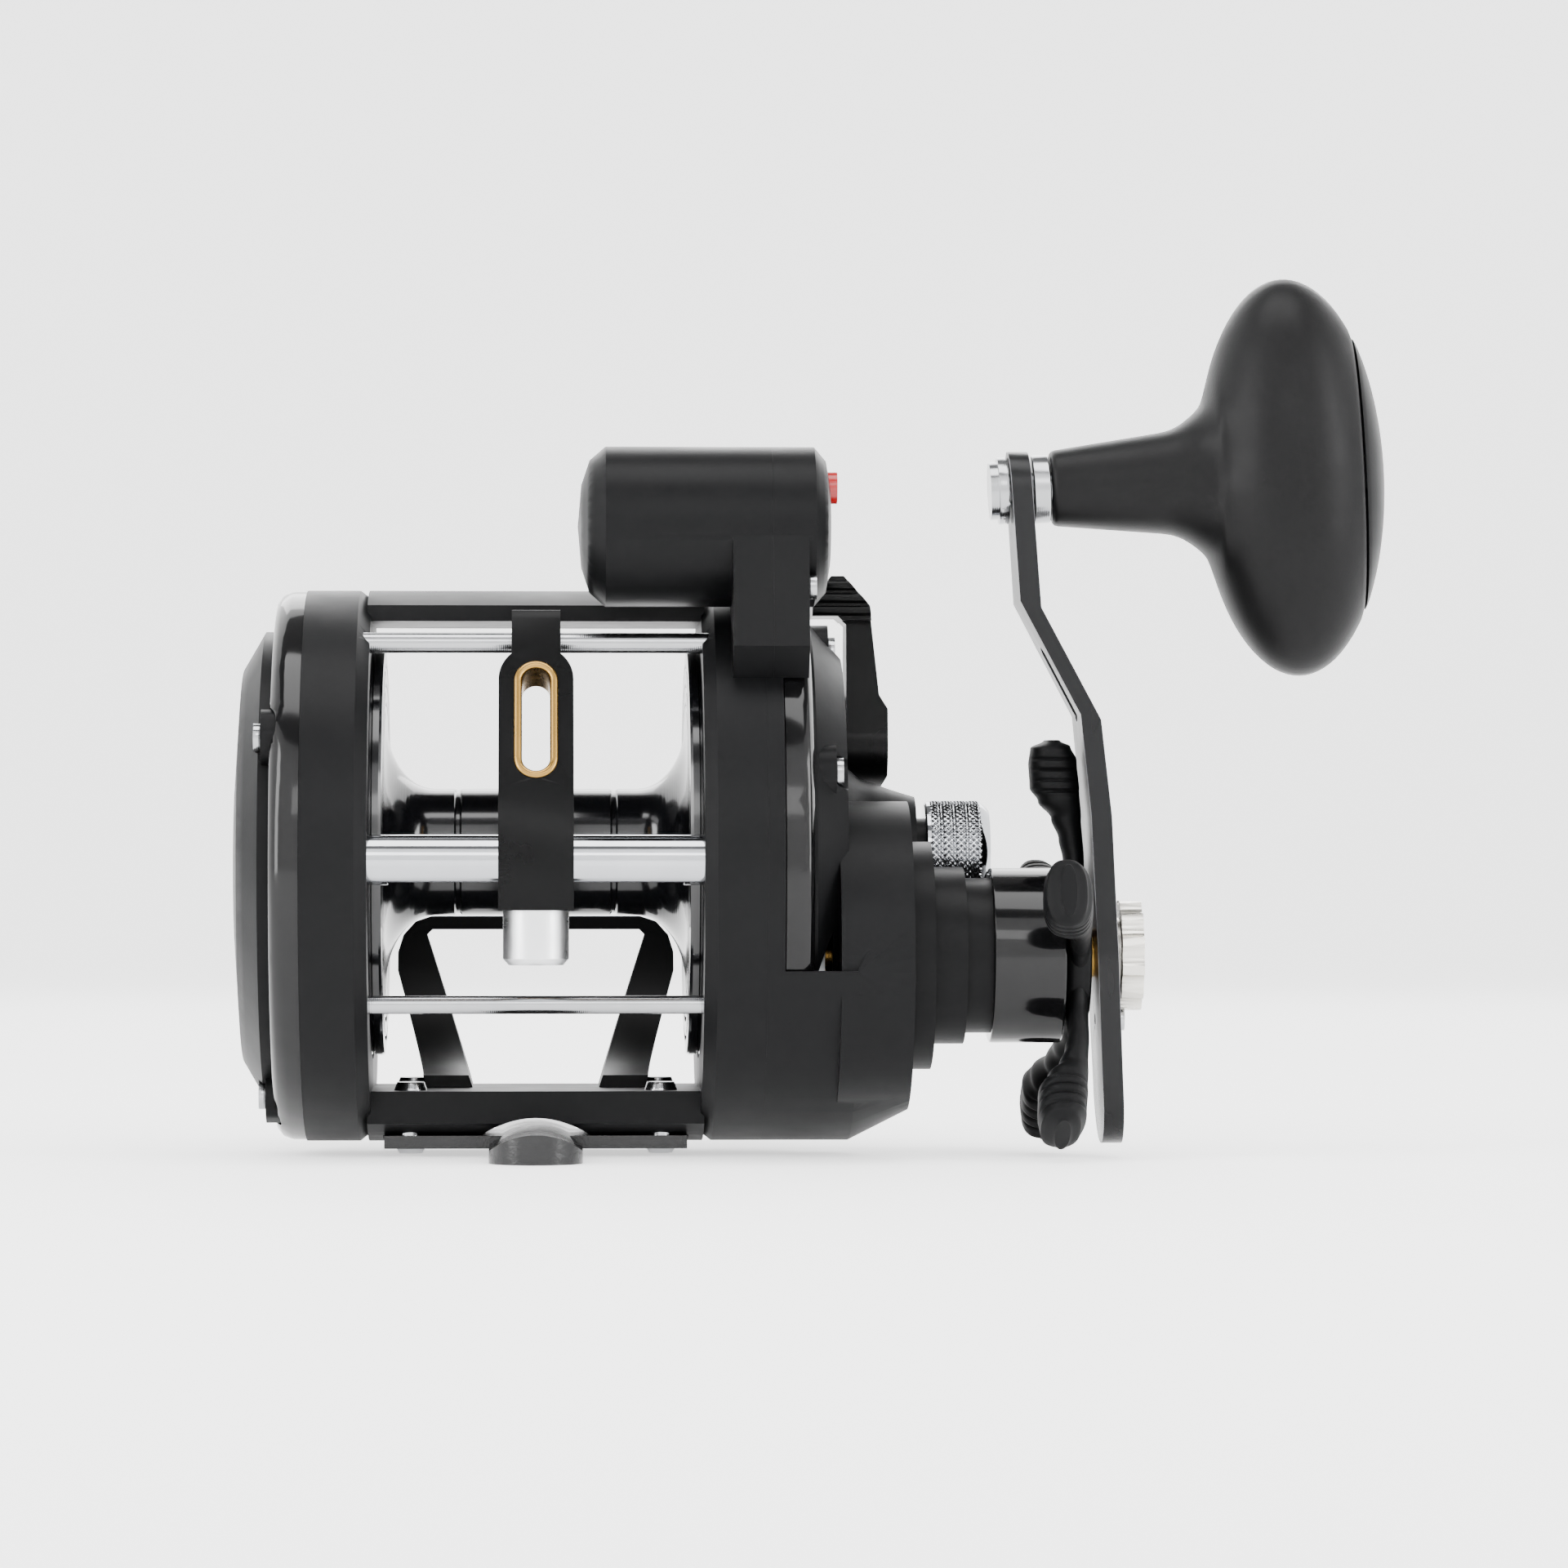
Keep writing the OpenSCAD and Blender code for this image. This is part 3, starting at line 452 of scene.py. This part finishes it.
# Cast control knob: diamond knurl around its rim
def build_cast_knob():
    radius, start, end = 7.6, 58.3, 65.4
    teeth, pitch, deep = 52, 0.92, 0.3
    steps, rows = teeth * 6, 50
    head = [(61.6, 5.05), (57.4, 5.05), (57.4, 7.1), (57.7, 7.45), (58.2, 7.5)]
    tail = [(65.6, 7.5), (65.9, 7.3), (66.8, 6.5), (67, 6.2), (67, 4.6), (66.7, 4.3), (66.7, 0),
            (64.6, 0), (64.6, 2.6), (61.6, 2.6)]
    rings = [(start + (end - start) * i / rows, None) for i in range(rows + 1)]
    points = []
    for x, given in head + rings + tail:
        for i in range(steps):
            turn = i / steps
            r = given
            if r is None:
                ramps = [abs(2 * ((teeth * turn + side * x / pitch) % 1) - 1) for side in (-1, 1)]
                r = radius - deep * (1 - min(1.0, 1.7 * min(ramps)))
            points.append((x * MM, SPOOL.y + r * MM * math.cos(TAU * turn),
                           SPOOL.z + r * MM * math.sin(TAU * turn)))
    faces = grid_faces(len(head) + len(rings) + len(tail), steps, closed=True)
    mesh_piece("cast_knob_knurled", points, faces, "chrome", "cast_knob", "chrome",
               "cast_control_knob", smooth=28)


build_cast_knob()


# Handle knob: rubber grip lofted along its own axis, with a separate cap
KNOB_MID, KNOB_DEEP, KNOB_HALF, CAP_START = 39.9, 13.6, 29.1, 49.6
KNOB_AT = axis_point("knob_spin")
KNOB_OUT = Vector(JOINTS["knob_spin"]["axis"]).normalized()
KNOB_UP = KNOB_OUT.cross(Vector((0, 1, 0))).normalized() * -1
KNOB_STEPS = 96
KNOB_BORE_R, KNOB_BORE_END = 2.6, 40
STEM_START, STEM_R, STEM_GROWTH, STEM_LONG = 4.6, 5.5, 2.4, 20.4
FLARE_START, FLARE_LONG = 20, 9       # where the stem widens towards the oval
CAP_SCALE = 1.012                     # the cap stands a little proud of the grip


def grip_radius(place, angle):
    """Distance from the knob axis to the skin, in mm."""
    swell = 1 - ((place - KNOB_MID) / KNOB_DEEP) ** 2
    toward_end = abs(math.sin(angle))
    stem = STEM_R + STEM_GROWTH * min(1.0, (place - STEM_START) / STEM_LONG)
    flare = max(0.0, min(place, FLARE_START + FLARE_LONG) - FLARE_START) / FLARE_LONG
    stem += (1.0 + 5.2 * toward_end ** 1.5) * flare ** 2.6
    if swell <= 0:
        return stem
    root = math.sqrt(max(swell, 1e-4))
    oval = 1 / math.hypot(math.cos(angle) / (KNOB_DEEP * root), math.sin(angle) / (KNOB_HALF * root))
    return oval if place > KNOB_MID else smooth_max(stem, oval, 2.4)


def knob_ring(place, scale=1.0, radius=None):
    ring = []
    for i in range(KNOB_STEPS):
        angle = TAU * i / KNOB_STEPS
        reach = radius if radius is not None else grip_radius(place, angle) * scale
        ring.append(KNOB_AT + MM * (KNOB_OUT * place + Vector((0, 1, 0)) * reach * math.cos(angle)
                                    + KNOB_UP * reach * math.sin(angle)))
    return ring


def build_knob():
    rings = [knob_ring(KNOB_BORE_END, radius=KNOB_BORE_R), knob_ring(STEM_START, radius=KNOB_BORE_R),
             knob_ring(STEM_START, radius=5.1), knob_ring(4.9, radius=5.45)]
    rings += [knob_ring(5.4 + 0.9 * i) for i in range(19)]
    rings += [knob_ring(22 + 0.4 * i) for i in range(24)]
    rings += [knob_ring(31.6 + 0.9 * i) for i in range(20)]
    rings += [knob_ring(CAP_START - 0.5), knob_ring(CAP_START - 0.15, 0.985),
              knob_ring(CAP_START - 0.15, 0.5), knob_ring(CAP_START - 0.15, radius=0.01)]
    points = [p for ring in rings for p in ring]
    mesh_piece("grip_knob", points, grid_faces(len(rings), KNOB_STEPS), "rubber", "knob",
               "grip_rubber", "handle_knob", smooth=50)
    top, dome = KNOB_MID + KNOB_DEEP, CAP_START + 0.6
    rings = [knob_ring(CAP_START + 0.1, radius=0.01), knob_ring(CAP_START + 0.1, 0.97),
             knob_ring(CAP_START + 0.25), knob_ring(dome, CAP_SCALE)]
    rings += [knob_ring(dome + (top - dome) * math.sin(math.radians(a)), CAP_SCALE)
              for a in range(6, 90, 6)]
    rings.append(knob_ring(top, radius=0.01))
    points = [p for ring in rings for p in ring]
    mesh_piece("grip_cap", points, grid_faces(len(rings), KNOB_STEPS), "cap", "knob",
               "grip_rubber", "knob_cap", smooth=50)


build_knob()


# Star wheel: five arms lofted outwards, each ending in a pad with thumb ridges
STAR_ARMS = 5
ARM_INNER = [(8, 76.9), (14, 76.9), (17, 76.3), (20, 75.2), (22.5, 73.3), (24.5, 72.1), (28, 71.9),
             (30.3, 72.2), (31.4, 74.2)]
ARM_OUTER = [(8, 80.2), (14, 80.0), (20, 79.6), (24, 79.3), (28.5, 78.9), (30.5, 78.0), (31.4, 76.4)]
ARM_START, ARM_END, ARM_ROWS = 8, 31.4, 130
RIDGE_START, RIDGE_END, RIDGE_PITCH, RIDGE_DEEP = 23.6, 29.8, 1.55, 0.42
ARM_WIDTH = [(8, 9.4), (12, 7.2), (16, 6.6), (20, 6.9), (23, 9.2), (25, 10), (30, 9.9), (31.4, 7.6)]


def build_star():
    corner, section = 1.3, 32
    points, faces = lathe([(76.8, 4.02), (76.8, 9.2), (77.2, 9.7), (77.8, 10), (79.6, 10),
                           (80.1, 9.8), (80.4, 9.2), (80.4, 4.02)], DRIVE, 120)
    for arm in range(STAR_ARMS):
        turn = TAU * arm / STAR_ARMS
        outward = Vector((0, -math.sin(turn), math.cos(turn)))
        across = Vector((0, math.cos(turn), math.sin(turn)))
        first = len(points)
        reach = ARM_END - ARM_START
        radii = [ARM_START + reach * i / ARM_ROWS for i in range(ARM_ROWS + 1)]
        for radius in radii + [ARM_END]:
            low, high = along(ARM_INNER, radius), along(ARM_OUTER, radius)
            half = along(ARM_WIDTH, radius) / 2
            if RIDGE_START < radius < RIDGE_END:
                wave = math.sin(TAU * (radius - RIDGE_START) / RIDGE_PITCH)
                half -= RIDGE_DEEP * max(0.0, wave) ** 2
            middle, deep = (low + high) / 2, (high - low) / 2
            if len(points) - first >= len(radii) * section:
                half, deep = 0.01, 0.01
            power = 2 * min(1.0, corner / max(half, deep) + 0.12)
            for i in range(section):
                angle = TAU * (i + 0.5) / section
                c, n = math.cos(angle), math.sin(angle)
                x = middle + deep * math.copysign(abs(c) ** power, c)
                y = half * math.copysign(abs(n) ** power, n)
                offset = (outward * radius + across * y) * MM
                points.append(Vector((x * MM, DRIVE.y, DRIVE.z)) + offset)
        faces += grid_faces(len(radii) + 1, section, first)
    mesh_piece("star_drag", points, faces, "matte", "star", "charcoal_plastic", "star_wheel", smooth=38)


build_star()


# Numbers on the counter wheels: raised strokes of a plain seven-stroke figure
STROKES = {"top": (0, 1, 0), "mid": (0, 0, 0), "low": (0, -1, 0),
           "left_up": (-1, 0.5, 1), "right_up": (1, 0.5, 1), "left_low": (-1, -0.5, 1),
           "right_low": (1, -0.5, 1)}
FIGURES = ["top left_up right_up left_low right_low low", "right_up right_low",
           "top right_up mid left_low low", "top right_up mid right_low low",
           "left_up right_up mid right_low", "top left_up mid right_low low",
           "top left_up mid left_low right_low low", "top right_up right_low",
           "top mid low left_up right_up left_low right_low", "top mid low left_up right_up right_low"]


def build_digits(name, node, body):
    low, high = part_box(node)
    middle, radius = (low.x + high.x) / 2, (high.z - low.z) / 2
    wide, tall, thick = 1.8 * MM, 3.4 * MM, 0.5 * MM
    sunk, raised = -0.05 * MM, 0.04 * MM
    points, faces = [], []
    for figure, strokes in enumerate(FIGURES):
        for stroke in strokes.split():
            side, level, upright = STROKES[stroke]
            x, v = middle + side * wide / 2, level * tall / 2
            if upright:
                dx, dv = thick / 2, tall / 4 + thick / 2
            else:
                dx, dv = wide / 2 + thick / 2, thick / 2
            first = len(points)
            for lift in (sunk, raised):
                for a, b in ((-1, -1), (1, -1), (1, 1), (-1, 1)):
                    turn = TAU * figure / len(FIGURES) + (v + b * dv) / radius
                    points.append((x - a * dx, COUNTER.y + (radius + lift) * math.cos(turn),
                                   COUNTER.z + (radius + lift) * math.sin(turn)))
            faces += [(first, first + 1, first + 2, first + 3),
                      (first + 4, first + 7, first + 6, first + 5)]
            faces += [(first + i, first + 4 + i, first + 4 + (i + 1) % 4, first + (i + 1) % 4)
                      for i in range(4)]
    mesh_piece(name, points, faces, "ink", body, "digit_white")


for node_name, body_name in (("digit_ones", "ones"), ("digit_tens", "tens"),
                             ("digit_hundreds", "hundreds")):
    build_digits(node_name + "_figures", node_name, body_name)


# ---------------------------------------------------------------- camera, light, floor

def build_camera():
    """A long lens in front of the reel, just below the spool axis."""
    lens_mm, sensor_mm = 140.6, 36
    distance, drop = 0.907, 0.8 * MM
    look = Vector((0.0405, 1, 0.012))
    data = bpy.data.cameras.new("view_camera")
    data.lens = lens_mm
    data.sensor_width = sensor_mm
    camera = bpy.data.objects.new("view_camera", data)
    camera.location = (0, -distance, SPOOL.z - drop)
    camera.rotation_euler = look.to_track_quat("-Z", "Y").to_euler()
    bpy.context.scene.collection.objects.link(camera)
    bpy.context.scene.camera = camera


LIGHT_TARGET = (0.03, 0, 0.05)
SOFTBOXES = {                         # name: place and size in metres, power in watts
    "top_softbox": ((0.0, -0.15, 0.9), (0.8, 0.5), 9),
    "left_softbox": ((-0.8, -0.5, 0.3), (0.25, 0.9), 9),
    "right_softbox": ((0.9, -0.55, 0.3), (0.25, 0.9), 9),
    "front_fill": ((0.1, -1.3, 0.7), (0.7, 0.3), 3),
    "back_softbox": ((0.1, 0.9, 0.6), (0.9, 0.5), 6),
}
WORLD_STRENGTH = 0.4


def area_light(name, place, size, power):
    data = bpy.data.lights.new(name, "AREA")
    data.shape = "RECTANGLE"
    data.size, data.size_y = size
    data.energy = power
    light = bpy.data.objects.new(name, data)
    light.location = place
    light.rotation_euler = (Vector(LIGHT_TARGET) - Vector(place)).to_track_quat("-Z", "Y").to_euler()
    bpy.context.scene.collection.objects.link(light)


def build_lights():
    for name, (place, size, power) in SOFTBOXES.items():
        area_light(name, place, size, power)
    world = bpy.data.worlds.new("studio_world")
    world.use_nodes = True
    background = world.node_tree.nodes["Background"]
    background.inputs["Color"].default_value = (1, 1, 1, 1)
    background.inputs["Strength"].default_value = WORLD_STRENGTH
    bpy.context.scene.world = world


def build_floor():
    """A pale floor that sweeps up behind the reel, seen the same from every side."""
    floor_z = cad_box[0][2]
    data = bpy.data.meshes.new("studio_floor")
    flat, sweep, wall, steps = 1.2, 1.2, 3.0, 96
    rings = [(flat, 0.0)]
    rings += [(flat + sweep * math.sin(a), sweep - sweep * math.cos(a))
              for a in [math.radians(d) for d in range(6, 91, 6)]]
    rings.append((flat + sweep, wall))
    points = [(0, 0, floor_z)]
    for radius, height in rings:
        points += [(radius * math.cos(TAU * i / steps), radius * math.sin(TAU * i / steps),
                    floor_z + height) for i in range(steps)]
    faces = [(0, 1 + i, 1 + (i + 1) % steps) for i in range(steps)]
    for row in range(len(rings) - 1):
        low = 1 + row * steps
        faces += [(low + i, low + steps + i, low + steps + (i + 1) % steps, low + (i + 1) % steps)
                  for i in range(steps)]
    data.from_pydata(points, [], faces)
    data.shade_smooth()
    floor = bpy.data.objects.new("studio_floor", data)
    bpy.context.scene.collection.objects.link(floor)
    made = Shader("studio_floor", (0.93, 0.93, 0.93), 0.75, Specular_IOR_Level=0.2,
                  Emission_Color=(1, 1, 1, 1), Emission_Strength=1.0)
    made.bump(made.noise(40, 2), 0.02, 0.0005)
    data.materials.append(made.material)


build_camera()
build_lights()
build_floor()
